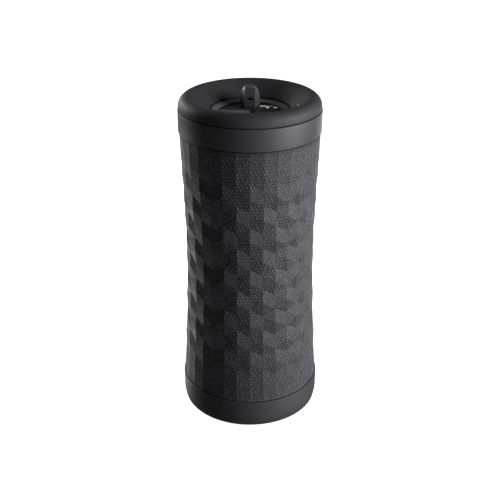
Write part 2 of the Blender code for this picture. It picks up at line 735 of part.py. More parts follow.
def make_top_bay():
    """Bulkhead, board and the parts on the board, under the top frame."""
    bulkhead = rod_mesh(
        "upper_bulkhead", bulkhead_radius, upper_bulkhead_low, board_low - GAP, INNER_STEPS)
    add_part("upper_bulkhead", bulkhead, moulded)
    board = rod_mesh("main_board", MAIN_BOARD_RADIUS, board_low, board_top, INNER_STEPS)
    add_part("main_board", board, laminate)
    chip_low = board_top + GAP
    for name, size, place in (
            ("radio_module", RADIO_SIZE, RADIO_PLACE), ("amplifier_chip", AMPLIFIER_SIZE, AMPLIFIER_PLACE)):
        chip = box_mesh(
            name, (place.x - size.x / 2, place.y - size.y / 2, chip_low),
            (place.x + size.x / 2, place.y + size.y / 2, chip_low + size.z))
        add_part(name, chip, wrap)
    half = ENCODER_SIZE / 2
    encoder = box_mesh("rotary_encoder", (-half, -half, chip_low), (half, half, frame_plate_low - GAP))
    encoder_part = add_part("rotary_encoder", encoder, moulded)
    bore = rod_mesh(
        "encoder_bore", SHAFT_RADIUS + GAP, shaft_low - GAP, frame_plate_low + CUT_OVERRUN, SMALL_STEPS)
    cut(encoder_part, add_cutter("encoder_bore", bore))


def make_top_frame():
    """Hollow ring that carries the well and the soft bumper and stands on the core tube."""
    outer = collar_bore - GAP
    well_outer = WELL_RADIUS + WELL_WALL + GAP
    under_bumper = bumper_underside(outer) - BUMPER_SEAT_GAP
    under_lip = bumper_underside(well_outer) - BUMPER_SEAT_GAP
    hollow_outer = outer - FRAME_SKIRT
    hollow_inner = well_outer + FRAME_RING_WALL
    profile = [
        (outer, under_bumper), (outer, collar_low), (hollow_outer, collar_low),
        (hollow_outer, bumper_underside(hollow_outer) - FRAME_RING_WALL),
        (hollow_inner, bumper_underside(hollow_inner) - FRAME_RING_WALL),
        (hollow_inner, frame_plate_low), (FRAME_HOLE_RADIUS, frame_plate_low),
        (FRAME_HOLE_RADIUS, frame_plate_top), (well_outer, frame_plate_top), (well_outer, under_lip)]
    add_part("top_frame", turned_mesh("top_frame", profile, INNER_STEPS), moulded)


def bumper_underside(radius):
    """Height of the bumper's sloping underside, from its thin inner lip out to the collar."""
    tip = bumper_low - BUMPER_TIP_DROP - BUMPER_TIP_HEIGHT
    share = (radius - bumper_inner_radius) / (collar_bore - bumper_inner_radius)
    return tip + (bumper_low + BUMPER_LIP_RISE - tip) * share


def make_collar():
    seal_pocket = collar_bore + SEAL_WIDTH + GAP
    pocket_floor = collar_high - SEAL_HEIGHT - GAP
    profile = [
        (collar_radius - EDGE_BREAK, collar_high), (collar_radius, collar_high - EDGE_BREAK),
        (collar_radius, collar_low + EDGE_BREAK), (collar_radius - EDGE_BREAK, collar_low),
        (collar_bore, collar_low), (collar_bore, pocket_floor), (seal_pocket, pocket_floor),
        (seal_pocket, collar_high)]
    add_part("collar_ring", turned_mesh("collar_ring", profile, OUTER_STEPS), moulded)
    seal_outer = seal_pocket - GAP
    seal_low = pocket_floor + GAP
    seal_profile = [
        (seal_outer, collar_high), (seal_outer, seal_low),
        (collar_bore, seal_low), (collar_bore, collar_high)]
    add_part("rim_seal", turned_mesh("rim_seal", seal_profile, INNER_STEPS), rubber)


def make_bumper():
    """Soft doughnut: a round shoulder outside, a crest, and a long slope down into the well."""
    crest_radius = bumper_radius - BUMPER_CREST_SET_BACK
    land = bumper_low + BUMPER_LAND
    tip_top = bumper_low - BUMPER_TIP_DROP
    shoulder = arc(
        (crest_radius, land), (BUMPER_CREST_SET_BACK, bumper_crest - land), 90, 0, BUMPER_ARC_POINTS)
    start = Vector((bumper_inner_radius, tip_top))
    handle = Vector((crest_radius - BUMPER_CREST_HANDLE, bumper_crest))
    crest = Vector((crest_radius, bumper_crest))
    slope = []
    for i in range(BUMPER_ARC_POINTS):
        t = i / BUMPER_ARC_POINTS
        point = start * (1 - t) ** 2 + handle * (2 * t * (1 - t)) + crest * t ** 2
        slope.append((point.x, point.y))
    tip = (bumper_inner_radius, tip_top - BUMPER_TIP_HEIGHT)
    profile = shoulder + [
        (bumper_radius, bumper_low + EDGE_BREAK), (bumper_radius - EDGE_BREAK, bumper_low),
        (collar_bore, bumper_low), (collar_bore, bumper_underside(collar_bore)), tip] + slope
    add_part("rim_bumper", turned_mesh("rim_bumper", profile, OUTER_STEPS), rubber)


def make_well():
    outer = WELL_RADIUS + WELL_WALL
    bush_outer = SHAFT_RADIUS + GAP + BUSH_WALL
    profile = [
        (outer, well_rim), (outer, well_floor_low), (bush_outer + GAP, well_floor_low),
        (bush_outer + GAP, well_floor_top), (WELL_RADIUS, well_floor_top), (WELL_RADIUS, well_rim)]
    add_part("well_cup", turned_mesh("well_cup", profile, OUTER_STEPS), moulded)
    bush_inner = SHAFT_RADIUS + GAP
    bush_profile = [
        (bush_outer, well_floor_top), (bush_outer, well_floor_low),
        (bush_inner, well_floor_low), (bush_inner, well_floor_top)]
    add_part("dial_bush", turned_mesh("dial_bush", bush_profile, SMALL_STEPS), brass)
    make_half_plates()


def make_half_plates():
    """Front half of the well: a matt plate on the left and a dark window on the right."""
    radius = WELL_RADIUS - GAP
    low = dial_top + GAP
    top = low + HALF_PLATE_THICKNESS
    near = GAP / 2
    far = WELL_RADIUS + CUT_OVERRUN
    for side, name, material in ((-1, "bezel_plate", moulded), (1, "status_window", gloss)):
        profile = [(0, top), (radius - EDGE_BREAK, top), (radius, top - EDGE_BREAK), (radius, low), (0, low)]
        plate = add_part(name, turned_mesh(name, profile, OUTER_STEPS), material)
        keep = box_mesh(
            name + "_keep", (min(side * near, side * far), -far, low - CUT_OVERRUN),
            (max(side * near, side * far), -HALF_PLATE_EDGE, top + CUT_OVERRUN))
        boolean(plate, add_cutter(name + "_keep", keep), "INTERSECT")
    make_dial_ring(radius, low, far)


def make_dial_ring(radius, low, far):
    """Sloped half ring that holds the dial down at the back, where the plates leave it open."""
    inner = radius - RING_WIDTH
    rim = well_rim - RING_RIM_DROP
    profile = [(radius, rim), (radius, low), (inner, low), (inner, low + RING_EDGE)]
    ring = add_part("dial_ring", turned_mesh("dial_ring", profile, OUTER_STEPS), moulded)
    keep = box_mesh(
        "dial_ring_keep", (-far, GAP - HALF_PLATE_EDGE, low - CUT_OVERRUN), (far, far, rim + CUT_OVERRUN))
    boolean(ring, add_cutter("dial_ring_keep", keep), "INTERSECT")


def make_dial():
    pivot = bpy.data.objects.new("dial_pivot", None)
    speaker_parts.objects.link(pivot)
    radius = WELL_RADIUS - GAP
    profile = [
        (0, dial_top), (radius - EDGE_BREAK, dial_top), (radius, dial_top - EDGE_BREAK),
        (radius, dial_low), (0, dial_low)]
    add_part("dial_disc", turned_mesh("dial_disc", profile, OUTER_STEPS), moulded, pivot)
    shaft = rod_mesh("dial_shaft", SHAFT_RADIUS, shaft_low, shaft_top, SMALL_STEPS)
    add_part("dial_shaft", shaft, steel, pivot)
    clip_inner = SHAFT_RADIUS + GAP
    clip_top = well_floor_low - GAP
    clip_low = clip_top - CLIP_THICKNESS
    clip_outer = clip_inner + CLIP_WIDTH
    clip_profile = [
        (clip_outer, clip_top), (clip_outer, clip_low), (clip_inner, clip_low), (clip_inner, clip_top)]
    add_part("dial_clip", turned_mesh("dial_clip", clip_profile, SMALL_STEPS), steel, pivot)
    make_thumb_tab(pivot)


def tab_section(height):
    """Outline of the tab at a height over its foot: full width low down, then a round arch."""
    share = max(0.0, (height - TAB_SHOULDER) / (TAB_HEIGHT - TAB_SHOULDER))
    narrowing = 1 - math.sqrt(1 - min(1.0, share) ** 2)
    half = (TAB_WIDTH + (TAB_TOP_WIDTH - TAB_WIDTH) * narrowing) / 2
    nose = min(TAB_NOSE_WIDTH / 2, half)
    back = tab_back - TAB_BACK_DRAW_IN * narrowing
    mid_y = (TAB_FLANK_Y + back) / 2
    return [
        (-nose, TAB_NOSE_Y), (nose, TAB_NOSE_Y), (half, TAB_FLANK_Y), (half * TAB_SIDE_SHARE, mid_y),
        (half * TAB_REAR_SHARE, back), (-half * TAB_REAR_SHARE, back),
        (-half * TAB_SIDE_SHARE, mid_y), (-half, TAB_FLANK_Y)]


def make_thumb_tab(pivot):
    """Loft from the wide foot to the narrow top edge, with a slot in the nose."""
    heights = [0.0, TAB_SHOULDER]
    for i in range(1, TAB_SECTIONS + 1):
        turn = math.pi / 2 * i / TAB_SECTIONS
        heights.append(TAB_SHOULDER + (TAB_HEIGHT - TAB_SHOULDER) * math.sin(turn))
    shape = bmesh.new()
    loops = []
    for height in heights:
        loops.append([shape.verts.new((x, y, tab_low + height)) for x, y in tab_section(height)])
    for lower, upper in zip(loops, loops[1:]):
        for i in range(len(lower)):
            j = (i + 1) % len(lower)
            shape.faces.new((lower[i], lower[j], upper[j], upper[i]))
    shape.faces.new(list(reversed(loops[0])))
    shape.faces.new(loops[-1])
    mesh = bpy.data.meshes.new("thumb_tab")
    shape.to_mesh(mesh)
    shape.free()
    tab = add_part("thumb_tab", mesh, moulded, pivot)
    slot_level = tab_low + TAB_SLOT_RISE
    slot = box_mesh(
        "tab_slot",
        (-TAB_SLOT_WIDTH / 2, TAB_NOSE_Y - CUT_OVERRUN, slot_level - TAB_SLOT_HEIGHT / 2),
        (TAB_SLOT_WIDTH / 2, TAB_NOSE_Y + TAB_SLOT_DEPTH, slot_level + TAB_SLOT_HEIGHT / 2))
    cut(tab, add_cutter("tab_slot", slot))


clear_scene()
speaker_parts = new_collection("portable_speaker")
cutter_parts = new_collection("cutters")

moulded = new_material("moulded_plastic", grey(0.035), 0.45)
rubber = new_material("soft_rubber", grey(0.03), 0.6)
cloth = new_material("woven_cloth", grey(0.045), 0.8)
steel = new_material("plated_steel", (0.5, 0.5, 0.5), 0.35, 1.0)
brass = new_material("turned_brass", (0.6, 0.42, 0.15), 0.35, 1.0)
gloss = new_material("gloss_window", grey(0.008), 0.12)
laminate = new_material("board_laminate", (0.02, 0.12, 0.05), 0.5)
paper = new_material("pressed_paper", grey(0.02), 0.8)
wrap = new_material("shrink_wrap", (0.05, 0.08, 0.16), 0.5)

make_base()
make_lower_bulkhead()
make_ports()
make_grille_core()
make_grille_sleeve()
make_chassis()
make_cells()
for side, end in ((-1, "front"), (1, "rear")):
    make_driver(side, end)
    make_radiator(side, end)
make_top_bay()
make_top_frame()
make_collar()
make_bumper()
make_well()
make_dial()
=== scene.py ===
import json
import math
import random

import bmesh
import bpy
from mathutils import Matrix, Vector
from mathutils.bvhtree import BVHTree


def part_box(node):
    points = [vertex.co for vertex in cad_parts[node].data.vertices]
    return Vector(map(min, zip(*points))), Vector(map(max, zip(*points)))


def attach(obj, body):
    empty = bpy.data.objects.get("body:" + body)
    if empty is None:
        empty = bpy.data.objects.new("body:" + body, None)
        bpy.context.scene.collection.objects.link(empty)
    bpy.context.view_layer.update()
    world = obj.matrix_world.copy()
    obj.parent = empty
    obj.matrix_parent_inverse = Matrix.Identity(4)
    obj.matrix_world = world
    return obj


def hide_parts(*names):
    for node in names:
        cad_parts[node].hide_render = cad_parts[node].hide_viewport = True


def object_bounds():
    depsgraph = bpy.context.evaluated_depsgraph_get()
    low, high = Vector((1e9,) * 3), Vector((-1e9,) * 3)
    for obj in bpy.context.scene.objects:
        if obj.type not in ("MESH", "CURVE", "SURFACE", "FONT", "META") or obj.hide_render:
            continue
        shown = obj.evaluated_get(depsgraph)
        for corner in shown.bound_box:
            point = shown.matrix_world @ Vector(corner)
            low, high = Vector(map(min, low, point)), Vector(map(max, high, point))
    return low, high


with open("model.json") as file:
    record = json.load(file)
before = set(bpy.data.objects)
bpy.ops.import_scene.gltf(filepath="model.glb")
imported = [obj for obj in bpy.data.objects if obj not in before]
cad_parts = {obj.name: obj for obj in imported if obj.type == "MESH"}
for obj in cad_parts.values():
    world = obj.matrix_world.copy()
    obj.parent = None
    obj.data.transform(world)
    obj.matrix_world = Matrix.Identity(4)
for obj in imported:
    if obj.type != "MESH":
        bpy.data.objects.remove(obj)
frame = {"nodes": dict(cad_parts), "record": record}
cadLow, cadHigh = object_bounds()
mm = 0.001
print("frame loaded,", len(frame["nodes"]), "CAD nodes")


# Colour and node helpers

def fromHex(text, alpha=1.0):  # sRGB hex to the linear colour Blender shades with
    channels = []
    for i in (0, 2, 4):
        value = int(text[i:i + 2], 16) / 255
        channels.append(value / 12.92 if value <= 0.04045 else ((value + 0.055) / 1.055) ** 2.4)
    return (*channels, alpha)


def addNode(tree, kind, settings=None, inputs=None):  # inputs: name or index -> value or output socket
    node = tree.nodes.new(kind)
    for name, value in (settings or {}).items():
        setattr(node, name, value)
    for name, value in (inputs or {}).items():
        if isinstance(value, bpy.types.NodeSocket):
            tree.links.new(value, node.inputs[name])
        else:
            node.inputs[name].default_value = value
    return node


def startMaterial(name, roughness, metallic=0.0, ior=1.46):
    material = bpy.data.materials.new(name)
    material.use_nodes = True
    tree = material.node_tree
    shader = tree.nodes["Principled BSDF"]
    shader.inputs["Roughness"].default_value = roughness
    shader.inputs["Metallic"].default_value = metallic
    if not metallic:
        shader.inputs["IOR"].default_value = ior
    coords = addNode(tree, "ShaderNodeTexCoord")
    return material, tree, shader, coords.outputs["Object"]


def addNoise(tree, place, sizeMm, detail):
    noise = addNode(tree, "ShaderNodeTexNoise", None, {
        "Vector": place, "Scale": 1 / (sizeMm * mm), "Detail": detail})
    return noise.outputs["Fac"]


def stretchNoise(tree, noise, low, high):  # the middle of a noise's range, spread over low to high
    spread = addNode(tree, "ShaderNodeMapRange", None, {
        "Value": noise, "From Min": 0.3, "From Max": 0.7, "To Min": low, "To Max": high})
    return spread.outputs["Result"]


driftMm = 18  # size of the slow colour drift that every finish has


def addGrain(tree, shader, place, grainMm, dark, light, roughLow, roughHigh, depthMm, bump):
    # a broad noise drives colour drift, a fine one roughness and the bump of a moulded or cast skin
    broad = addNoise(tree, place, driftMm, 3.0)
    fine = addNoise(tree, place, grainMm, 2.0)
    tint = addNode(tree, "ShaderNodeMix", {"data_type": "RGBA"}, {0: broad, 6: dark, 7: light})
    tree.links.new(tint.outputs[2], shader.inputs["Base Color"])
    tree.links.new(stretchNoise(tree, fine, roughLow, roughHigh), shader.inputs["Roughness"])
    skin = addNode(tree, "ShaderNodeBump", None, {
        "Height": fine, "Strength": bump, "Distance": depthMm * mm})
    tree.links.new(skin.outputs["Normal"], shader.inputs["Normal"])


# Materials, each named for what the real one is

def makeMouldedAbs():  # ABS moulded in a spark-eroded tool: satin charcoal with a fine even grain
    material, tree, shader, place = startMaterial("moulded ABS", 0.42, ior=1.52)
    addGrain(tree, shader, place, 0.35, fromHex("343437"), fromHex("3e3e42"), 0.48, 0.58, 0.02, 0.12)
    return material


def makeSatinAbs(name, dark, light):  # grey ABS with a bead-blasted face, for the trim around the dial
    material, tree, shader, place = startMaterial(name, 0.5, ior=1.52)
    addGrain(tree, shader, place, 0.25, fromHex(dark), fromHex(light), 0.46, 0.56, 0.02, 0.12)
    return material


def makeSiliconeRubber():  # cast silicone with a dry matt skin, a little lighter where dust holds
    material, tree, shader, place = startMaterial("silicone rubber", 0.55, ior=1.43)
    addGrain(tree, shader, place, 0.5, fromHex("2f2f32"), fromHex("39393e"), 0.58, 0.7, 0.02, 0.15)
    return material


def makeWovenPolyester():  # tight black polyester yarn over a pressed backing, dull with a soft sheen
    material, tree, shader, place = startMaterial("woven polyester", 0.72, ior=1.5)
    addGrain(tree, shader, place, 0.9, fromHex("2d2d31"), fromHex("39393e"), 0.62, 0.8, 0.25, 0.6)
    shade = stretchNoise(tree, addNoise(tree, place, 0.8, 1.0), 0.45, 1.6)
    tint = shader.inputs["Base Color"].links[0].from_socket
    uneven = addNode(tree, "ShaderNodeMix", {"data_type": "RGBA", "blend_type": "MULTIPLY"}, {
        0: 1.0, 6: tint, 7: shade})
    tree.links.new(uneven.outputs[2], shader.inputs["Base Color"])
    shader.inputs["Sheen Weight"].default_value = 0.45
    shader.inputs["Sheen Roughness"].default_value = 0.3
    return material


def makePolyesterFloat():  # the floating yarns that pass over the weave, smoother, and lighter than the cloth: a painted highlight where the raised yarn catches the light
    material, tree, shader, place = startMaterial("polyester float yarn", 0.5, ior=1.5)
    addGrain(tree, shader, place, 0.4, fromHex("545459"), fromHex("6e6e74"), 0.42, 0.6, 0.05, 0.3)
    shader.inputs["Sheen Weight"].default_value = 0.15
    shader.inputs["Sheen Roughness"].default_value = 0.35
    return material


def makePolishedAcrylic():  # black acrylic window, polished, with faint wipe marks in its gloss
    material, tree, shader, place = startMaterial("polished acrylic", 0.12, ior=1.49)
    addGrain(tree, shader, place, 2.5, fromHex("0e0e10"), fromHex("131315"), 0.24, 0.32, 0.01, 0.05)
    return material


def makeGlowingPrint(name, dark, light, glow):  # print for the dial's icons and the index dot, matt like frosted acrylic; its emission is a dim painted glow, no lamp lights it
    material, tree, shader, place = startMaterial(name, 0.5, ior=1.49)
    addGrain(tree, shader, place, 0.25, fromHex(dark), fromHex(light), 0.45, 0.55, 0.01, 0.1)
    shader.inputs["Emission Color"].default_value = fromHex(light)
    shader.inputs["Emission Strength"].default_value = glow
    return material


def makePlatedSteel():  # zinc-plated steel with fine drawing lines in its roughness
    material, tree, shader, place = startMaterial("zinc-plated steel", 0.34, 1.0)
    addGrain(tree, shader, place, 0.4, fromHex("a8a8aa"), fromHex("b9b9bc"), 0.28, 0.42, 0.01, 0.08)
    return material


def makeTurnedBrass():  # turned brass bush, warm and slightly dulled
    material, tree, shader, place = startMaterial("turned brass", 0.32, 1.0)
    addGrain(tree, shader, place, 0.3, fromHex("a8863e"), fromHex("bb9850"), 0.26, 0.4, 0.01, 0.08)
    return material


def makeBoardLaminate():  # glass-epoxy laminate under green solder mask
    material, tree, shader, place = startMaterial("glass-epoxy laminate", 0.4, ior=1.52)
    addGrain(tree, shader, place, 0.5, fromHex("16482b"), fromHex("1d5a36"), 0.35, 0.45, 0.01, 0.1)
    return material


def makePaperPulp():  # coated paper pulp of a loudspeaker cone
    material, tree, shader, place = startMaterial("coated paper pulp", 0.8, ior=1.45)
    addGrain(tree, shader, place, 0.6, fromHex("1d1d1e"), fromHex("262628"), 0.72, 0.88, 0.05, 0.4)
    return material


def makeShrinkWrap():  # PVC shrink wrap over a metal can, glossy with slight ripples
    material, tree, shader, place = startMaterial("PVC shrink wrap", 0.3, ior=1.53)
    addGrain(tree, shader, place, 3.0, fromHex("26406e"), fromHex("2c4a7c"), 0.25, 0.36, 0.05, 0.1)
    return material


mouldedAbs = makeMouldedAbs()
satinAbs = makeSatinAbs("bead-blasted ABS", "5f5f63", "6b6b70")
tabAbs = makeSatinAbs("bead-blasted dark ABS", "434347", "4e4e52")
siliconeRubber = makeSiliconeRubber()
wovenPolyester = makeWovenPolyester()
polyesterFloat = makePolyesterFloat()
polishedAcrylic = makePolishedAcrylic()
# the emission of these two is a painted glow on print, not light from a lamp
whitePrintGlow = makeGlowingPrint("white print, painted glow", "dcdcdc", "f2f2f2", 0.2)
bluePrintGlow = makeGlowingPrint("blue print, painted glow", "3a9fd8", "5cb4e8", 0.12)
platedSteel = makePlatedSteel()
finishBySlot = {
    "moulded_plastic": mouldedAbs, "soft_rubber": siliconeRubber, "woven_cloth": wovenPolyester,
    "plated_steel": platedSteel, "turned_brass": makeTurnedBrass(), "gloss_window": polishedAcrylic,
    "board_laminate": makeBoardLaminate(), "pressed_paper": makePaperPulp(),
    "wrapped_can": makeShrinkWrap(), "black_package": mouldedAbs}
for row in frame["record"]["subparts"]:  # the solids inside keep their CAD shape and take a real finish
    cadMesh = frame["nodes"][row["node"]].data
    cadMesh.materials.clear()
    cadMesh.materials.append(finishBySlot[row["material_slot"]])
print("materials made,", len(finishBySlot), "slots")


# Mesh helpers

def addPiece(name, mesh, material, body, slotName, *nodes):
    mesh.materials.clear()
    mesh.materials.append(material)
    piece = bpy.data.objects.new(name, mesh)
    bpy.context.scene.collection.objects.link(piece)
    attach(piece, body)
    if nodes:
        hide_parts(*nodes)
    return piece


def smoothShade(mesh, sharpAngle=35):
    mesh.shade_smooth()
    mesh.set_sharp_from_angle(angle=math.radians(sharpAngle))


def meshFrom(shape, name, sharpAngle=35):
    bmesh.ops.recalc_face_normals(shape, faces=shape.faces)
    mesh = bpy.data.meshes.new(name)
    shape.to_mesh(mesh)
    shape.free()
    smoothShade(mesh, sharpAngle)
    return mesh


def surfaceTree(mesh):  # for casting rays at a mesh
    shape = bmesh.new()
    shape.from_mesh(mesh)
    tree = BVHTree.FromBMesh(shape)
    shape.free()
    return tree


def joinSections(shape, sections):  # walls between one closed section and the next
    for first, second in zip(sections, sections[1:]):
        for i in range(len(first)):
            j = (i + 1) % len(first)
            shape.faces.new((first[i], first[j], second[j], second[i]))


def softenEdges(piece, width):
    bevel = piece.modifiers.new("soft edges", "BEVEL")
    bevel.width = width
    bevel.segments = 2
    bevel.limit_method = "ANGLE"
    bevel.angle_limit = math.radians(30)


def turnProfile(profile, steps):  # closed list of (radius, height), radius 0 makes a pole
    shape = bmesh.new()
    rings = []
    for radius, height in profile:
        if radius < 1e-7:
            rings.append([shape.verts.new((0, 0, height))] * steps)
            continue
        ring = []
        for i in range(steps):
            angle = 2 * math.pi * i / steps
            ring.append(shape.verts.new((radius * math.cos(angle), radius * math.sin(angle), height)))
        rings.append(ring)
    poles = sum(1 for radius, height in profile if radius < 1e-7)
    pairs = list(zip(rings, rings[1:]))
    if not poles:
        pairs.append((rings[-1], rings[0]))
    for upper, lower in pairs:
        for i in range(steps):
            j = (i + 1) % steps
            corners = []
            for vert in (upper[i], lower[i], lower[j], upper[j]):
                if vert not in corners:
                    corners.append(vert)
            if len(corners) > 2:
                shape.faces.new(corners)
    return shape


def curvePoint(start, handle, end, t):  # point on a curve pulled towards one handle
    point = start * (1 - t) ** 2 + handle * (2 * t * (1 - t)) + end * t ** 2
    return (point.x, point.y)


def roundCorner(corner, before, after, radius, count=5):  # fillet a profile corner with an arc
    corner, before, after = Vector(corner), Vector(before), Vector(after)
    toBefore = (before - corner).normalized()
    toAfter = (after - corner).normalized()
    start = corner + toBefore * radius
    end = corner + toAfter * radius
    return [curvePoint(start, corner, end, i / (count - 1)) for i in range(count)]


def filleted(points):  # points are (radius, height) or (radius, height, fillet), in a closed loop
    profile = []
    for i, point in enumerate(points):
        if len(point) == 2:
            profile.append(point)
            continue
        before = points[i - 1][:2]
        after = points[(i + 1) % len(points)][:2]
        profile += roundCorner(point[:2], before, after, point[2])
    return profile


def cutWith(piece, tools):  # subtract tool meshes and keep the result as a plain mesh
    helpers = []
    for mesh in tools:
        helper = bpy.data.objects.new("tool", mesh)
        bpy.context.scene.collection.objects.link(helper)
        modifier = piece.modifiers.new("cut", "BOOLEAN")
        modifier.solver = "EXACT"
        modifier.object = helper
        helpers.append(helper)
    depsgraph = bpy.context.evaluated_depsgraph_get()
    result = bpy.data.meshes.new_from_object(piece.evaluated_get(depsgraph))
    piece.modifiers.clear()
    piece.data = result
    for helper in helpers:
        bpy.data.objects.remove(helper)
    smoothShade(result)


def boxMesh(low, high):
    low, high = Vector(low), Vector(high)
    shape = bmesh.new()
    place = Matrix.Translation((low + high) / 2) @ Matrix.Diagonal((*(high - low), 1))
    bmesh.ops.create_cube(shape, size=1.0, matrix=place)
    mesh = bpy.data.meshes.new("box")
    shape.to_mesh(mesh)
    shape.free()
    return mesh


# Base cup: satin skirt drawn in towards the foot, with the socket opening at the back

fit = 0.3 * mm  # play between neighbouring pieces
baseSizes = {
    "topFillet": 0.3 * mm, "footFillet": 0.8 * mm, "draftTop": 5 * mm, "draftFillet": 1.2 * mm,
    "draft": 0.9 * mm, "wall": 2.1 * mm, "floor": 4.2 * mm, "grooveIn": 23.7 * mm, "steps": 192,
    "openingHalf": 11 * mm, "openingIn": 30 * mm, "openingOut": 40 * mm, "openingTop": 0.6 * mm}
screwHoleSizes = {"top": 6 * mm, "radius": 1.6 * mm, "headTop": 3.2 * mm, "steps": 32}


def makeScrewHole(number):
    low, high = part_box(f"base_screw_{number}")
    centre = (low + high) / 2
    head = (high.x - low.x) / 2 + fit
    radius, top, headTop = screwHoleSizes["radius"], screwHoleSizes["top"], screwHoleSizes["headTop"]
    profile = [(0, top), (radius, top), (radius, headTop), (head, headTop), (head, -mm), (0, -mm)]
    shape = turnProfile(profile, screwHoleSizes["steps"])
    bmesh.ops.translate(shape, verts=shape.verts, vec=(centre.x, centre.y, 0))
    return meshFrom(shape, "screwHole")


def makeBase():
    low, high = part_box("base_cup")
    portLow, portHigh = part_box("port_cover")
    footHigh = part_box("rubber_foot")[1]
    radius = high.x
    bore = radius - baseSizes["wall"]
    floor = baseSizes["floor"]
    grooveOut, grooveIn = footHigh.x + fit, baseSizes["grooveIn"]
    grooveTop = footHigh.z + fit
    points = [
        (0, floor), (bore, floor), (bore, high.z), (radius, high.z, baseSizes["topFillet"]),
        (radius, baseSizes["draftTop"], baseSizes["draftFillet"]),
        (radius - baseSizes["draft"], low.z, baseSizes["footFillet"]),
        (grooveOut, low.z), (grooveOut, grooveTop), (grooveIn, grooveTop), (grooveIn, low.z), (0, low.z)]
    mesh = meshFrom(turnProfile(filleted(points), baseSizes["steps"]), "baseSkirt")
    piece = addPiece("baseSkirt", mesh, mouldedAbs, "speaker", "moulded_plastic", "base_cup")
    half = baseSizes["openingHalf"]
    opening = boxMesh(
        (-half, baseSizes["openingIn"], portLow.z - fit),
        (half, baseSizes["openingOut"], portHigh.z + baseSizes["openingTop"]))
    cutWith(piece, [opening] + [makeScrewHole(number) for number in range(1, 5)])
    return radius


baseRadius = makeBase()


footSizes = {
    "inner": 24 * mm, "edge": 0.4 * mm, "grooveHalf": 0.5 * mm, "grooveDepth": 0.4 * mm, "steps": 128}


def makeFoot():  # matt ring with two shallow grip grooves
    low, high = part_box("rubber_foot")
    outer, inner = high.x, footSizes["inner"]
    edge, half, depth = footSizes["edge"], footSizes["grooveHalf"], footSizes["grooveDepth"]
    third = (outer - inner) / 3
    points = [(outer, high.z), (outer, low.z, edge)]
    for i in (1, 2):
        middle = outer - third * i
        points += [(middle + half, low.z), (middle, low.z + depth), (middle - half, low.z)]
    points += [(inner, low.z, edge), (inner, high.z)]
    mesh = meshFrom(turnProfile(filleted(points), footSizes["steps"]), "footRing")
    addPiece("footRing", mesh, siliconeRubber, "speaker", "soft_rubber", "rubber_foot")


makeFoot()
print("base made, radius", round(baseRadius / mm, 2), "mm")


# Collar and bumper: the rigid ring and the soft doughnut over it

collarSizes = {
    "edge": 0.35 * mm, "lowEdge": 0.15 * mm, "wall": 2.8 * mm, "pocketWidth": 1.6 * mm,
    "pocketDepth": 1.7 * mm, "steps": 192}


def makeCollar():
    low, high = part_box("collar_ring")
    bore = high.x - collarSizes["wall"]
    pocket = bore + collarSizes["pocketWidth"]
    floor = high.z - collarSizes["pocketDepth"]
    points = [
        (high.x, high.z, collarSizes["edge"]), (high.x, low.z, collarSizes["lowEdge"]), (bore, low.z),
        (bore, floor), (pocket, floor), (pocket, high.z)]
    mesh = meshFrom(turnProfile(filleted(points), collarSizes["steps"]), "collarBand")
    addPiece("collarBand", mesh, mouldedAbs, "speaker", "moulded_plastic", "collar_ring")


bumperSizes = {
    "crestIn": 5.1 * mm, "land": 1.2 * mm, "lip": 20.6 * mm, "tip": 0.3 * mm, "handle": 1.7 * mm,
    "seatEdge": 0.5 * mm, "boreRise": 2.2 * mm, "bend": 24, "steps": 192}


def makeBumper():
    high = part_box("rim_bumper")[1]
    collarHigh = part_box("collar_ring")[1]
    seat = collarHigh.z + fit
    outer = high.x
    crest = outer - bumperSizes["crestIn"]
    land = seat + bumperSizes["land"]
    lip = bumperSizes["lip"]
    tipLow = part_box("well_cup")[1].z + fit
    tipTop = tipLow + bumperSizes["tip"]
    bore = collarHigh.x - collarSizes["wall"]
    bend = bumperSizes["bend"]
    profile = []
    for i in range(bend + 1):  # round shoulder, from the crest out and down
        turn = math.pi / 2 * (1 - i / bend)
        profile.append((crest + (outer - crest) * math.cos(turn), land + (high.z - land) * math.sin(turn)))
    profile += roundCorner((outer, seat), (outer, land), (bore, seat), bumperSizes["seatEdge"])
    profile += [(bore, seat), (bore, seat + bumperSizes["boreRise"]), (lip, tipLow)]
    start, end = Vector((lip, tipTop)), Vector((crest, high.z))
    handle = Vector((crest - bumperSizes["handle"], high.z))
    profile += [curvePoint(start, handle, end, i / bend) for i in range(bend)]  # slope up to the crest
    mesh = meshFrom(turnProfile(profile, bumperSizes["steps"]), "softBumper")
    addPiece("softBumper", mesh, siliconeRubber, "speaker", "soft_rubber", "rim_bumper")
    return mesh


makeCollar()
bumperMesh = makeBumper()
print("collar and bumper made")


# Grille sleeve: cloth pressed into a honeycomb of shallow pyramids

sleeveSizes = {
    "hexagons": 16, "rows": 18, "lowSetBack": 0.55 * mm, "topSetBack": 1.5 * mm, "waistDepth": 3.25 * mm,
    "waistShare": 0.53, "waistPower": 1.65, "apex": 0.4 * mm, "valley": 0.1 * mm, "fadeRows": 2.5,
    "thickness": 1.0 * mm, "creaseGain": 2.4, "creaseFade": 4.5, "uprightGain": 2.6,
    "lowSeam": 0.3 * mm, "topSeam": 0.75 * mm}  # each seam is left open, so that it shows as a dark line


def sleeveRadius(share):
    waist = sleeveSizes["waistShare"]
    lowRadius = baseRadius - sleeveSizes["lowSetBack"]
    waistRadius = lowRadius - sleeveSizes["waistDepth"]
    if share < waist:
        away, endRadius = (waist - share) / waist, lowRadius
    else:
        away, endRadius = (share - waist) / (1 - waist), baseRadius - sleeveSizes["topSetBack"]
    return waistRadius + (endRadius - waistRadius) * away ** sleeveSizes["waistPower"]


def reliefAt(column, level):  # apexes stand out, every third lattice point lies low
    kind = math.floor(level) % 3
    if column % 2:
        kind = (kind + 2) % 3
    rise = (sleeveSizes["apex"], 0.0, -sleeveSizes["valley"])[kind]
    return rise * min(1.0, min(level, sleeveSizes["rows"] - level) / sleeveSizes["fadeRows"])


